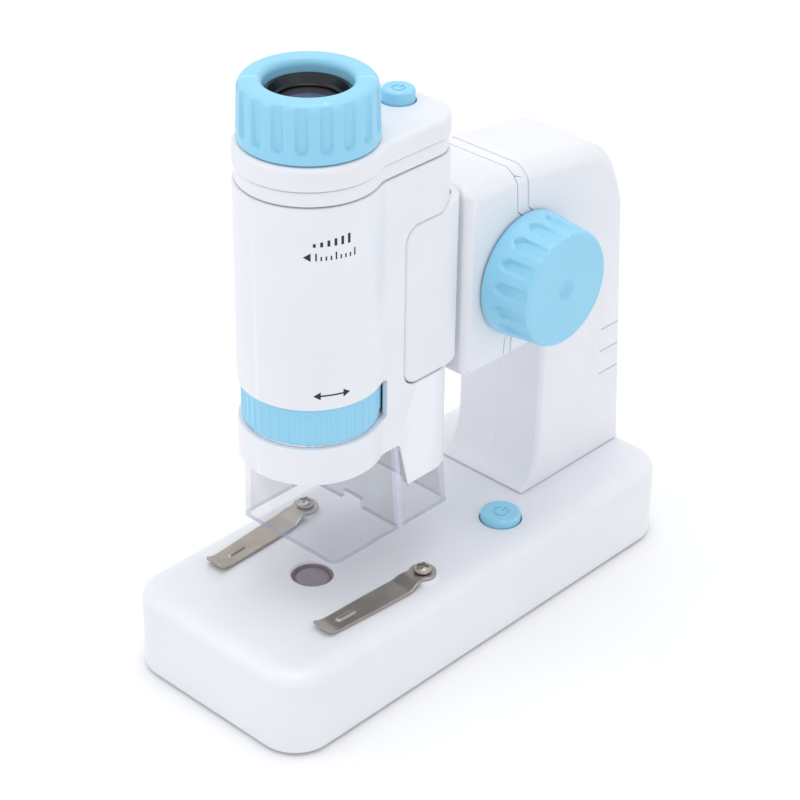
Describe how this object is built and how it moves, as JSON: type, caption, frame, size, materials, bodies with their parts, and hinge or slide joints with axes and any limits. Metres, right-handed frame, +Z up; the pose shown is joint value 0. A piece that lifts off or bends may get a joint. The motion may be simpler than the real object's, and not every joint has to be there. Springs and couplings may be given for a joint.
{
  "type": "microscope",
  "caption": "Desk microscope with a round-nosed zoom barrel in a cradle, raised by a side knob on an arm over a lit stage with two clips.",
  "frame": {"origin": "middle of the base footprint, on the surface it stands on", "axes": "+Z up, eyepiece at the top; -Y is the stage end; +Y is the arm; +X is the right-hand knob side"},
  "size_m": [0.07, 0.165, 0.1834],
  "materials": {
    "white_shell": "satin-gloss white ABS moulding",
    "blue_plastic": "satin sky-blue moulding",
    "steel": "lightly brushed stamped or turned steel",
    "brass": "turned brass",
    "black_plastic": "black moulding",
    "clear_plastic": "clear acrylic",
    "lens_glass": "polished clear lens",
    "frosted_window": "smoky frosted diffuser",
    "circuit_board": "green solder mask",
    "rubber": "matt rubber",
    "cell_jacket": "plain printed cell jacket"
  },
  "bodies": {
    "stand": {"clip_screw_left": "steel", "clip_screw_right": "steel", "arm_left_shell": "white_shell", "arm_right_shell": "white_shell", "head_front_cover": "white_shell", "arm_screw_1": "steel", "arm_screw_2": "steel", "shaft_bush_left": "brass", "shaft_bush_right": "brass", "base_shell": "white_shell", "base_bottom_plate": "white_shell", "battery_door": "white_shell", "battery_door_screw": "steel", "base_screw_1": "steel", "base_screw_2": "steel", "base_screw_3": "steel", "base_screw_4": "steel", "rubber_foot_1": "rubber", "rubber_foot_2": "rubber", "rubber_foot_3": "rubber", "rubber_foot_4": "rubber", "base_cell_1": "cell_jacket", "base_cell_2": "cell_jacket", "base_contact_front": "steel", "base_contact_rear": "steel", "stage_window": "frosted_window", "stage_led": "clear_plastic", "base_circuit_board": "circuit_board", "base_switch": "black_plastic"},
    "stage_clip_left_body": {"stage_clip_left": "steel"},
    "stage_clip_right_body": {"stage_clip_right": "steel"},
    "base_button_body": {"base_power_button": "blue_plastic"},
    "focus_drive": {"focus_shaft": "steel", "drive_pinion": "brass", "focus_knob_left": "blue_plastic", "focus_knob_right": "blue_plastic"},
    "carriage": {"rack_carriage": "black_plastic", "barrel_cradle": "white_shell", "cradle_screw_1": "steel", "cradle_screw_2": "steel"},
    "barrel": {"barrel_shell": "white_shell", "barrel_band": "white_shell", "barrel_top_cap": "white_shell", "barrel_switch": "black_plastic", "barrel_cell": "cell_jacket", "barrel_contact_lower": "steel", "barrel_contact_upper": "steel", "lamp_board": "circuit_board", "specimen_led": "clear_plastic", "clear_hood": "clear_plastic"},
    "barrel_button_body": {"barrel_power_button": "blue_plastic"},
    "zoom_ring_body": {"eyepiece_ring": "blue_plastic", "eyepiece_cell": "black_plastic", "eyepiece_lens": "lens_glass"},
    "zoom_tube_body": {"zoom_tube": "black_plastic", "zoom_lens": "lens_glass"},
    "focus_ring_body": {"focus_ring": "blue_plastic"},
    "objective_body": {"objective_carrier": "black_plastic", "objective_lens": "lens_glass"}
  },
  "joints": [
    {"name": "stage_clip_left_swing", "type": "hinge", "parent": "stand", "child": "stage_clip_left_body", "pos_m": [-0.0242, -0.02, 0.029], "axis": [0, 0, 1], "range_deg": [-40, 30]},
    {"name": "stage_clip_right_swing", "type": "hinge", "parent": "stand", "child": "stage_clip_right_body", "pos_m": [0.0242, -0.02, 0.029], "axis": [0, 0, 1], "range_deg": [-30, 40]},
    {"name": "base_button_press", "type": "slide", "parent": "stand", "child": "base_button_body", "axis": [0, 0, -1], "range_m": [0, 0.001], "stiffness_N_per_m": 400, "springref_m": -0.0002},
    {"name": "height_slide", "type": "slide", "parent": "stand", "child": "carriage", "axis": [0, 0, 1], "range_m": [-0.0145, 0.006]},
    {"name": "focus_knob_turn", "type": "hinge", "parent": "stand", "child": "focus_drive", "pos_m": [0, 0.0285, 0.1068], "axis": [1, 0, 0], "range_deg": [-57.5, 138.8]},
    {"name": "barrel_pull_out", "type": "slide", "parent": "carriage", "child": "barrel", "axis": [0, -1, 0], "range_m": [0, 0.026]},
    {"name": "barrel_button_press", "type": "slide", "parent": "barrel", "child": "barrel_button_body", "axis": [0, 0, -1], "range_m": [0, 0.001], "stiffness_N_per_m": 400, "springref_m": -0.0002},
    {"name": "zoom_ring_turn", "type": "hinge", "parent": "barrel", "child": "zoom_ring_body", "pos_m": [0, -0.041, 0.1745], "axis": [0, 0, 1], "range_deg": [0, 90]},
    {"name": "zoom_tube_slide", "type": "slide", "parent": "barrel", "child": "zoom_tube_body", "axis": [0, 0, -1], "range_m": [0, 0.01]},
    {"name": "focus_ring_turn", "type": "hinge", "parent": "barrel", "child": "focus_ring_body", "pos_m": [0, -0.041, 0.089], "axis": [0, 0, 1], "range_deg": [-75, 75]},
    {"name": "objective_slide", "type": "slide", "parent": "barrel", "child": "objective_body", "axis": [0, 0, 1], "range_m": [-0.002, 0.002]}
  ],
  "couplings": [
    {"joint": "focus_knob_turn", "follows": "height_slide", "rad_per_m": -166.67},
    {"joint": "zoom_tube_slide", "follows": "zoom_ring_turn", "m_per_rad": 0.00636},
    {"joint": "objective_slide", "follows": "focus_ring_turn", "m_per_rad": 0.00152}
  ]
}
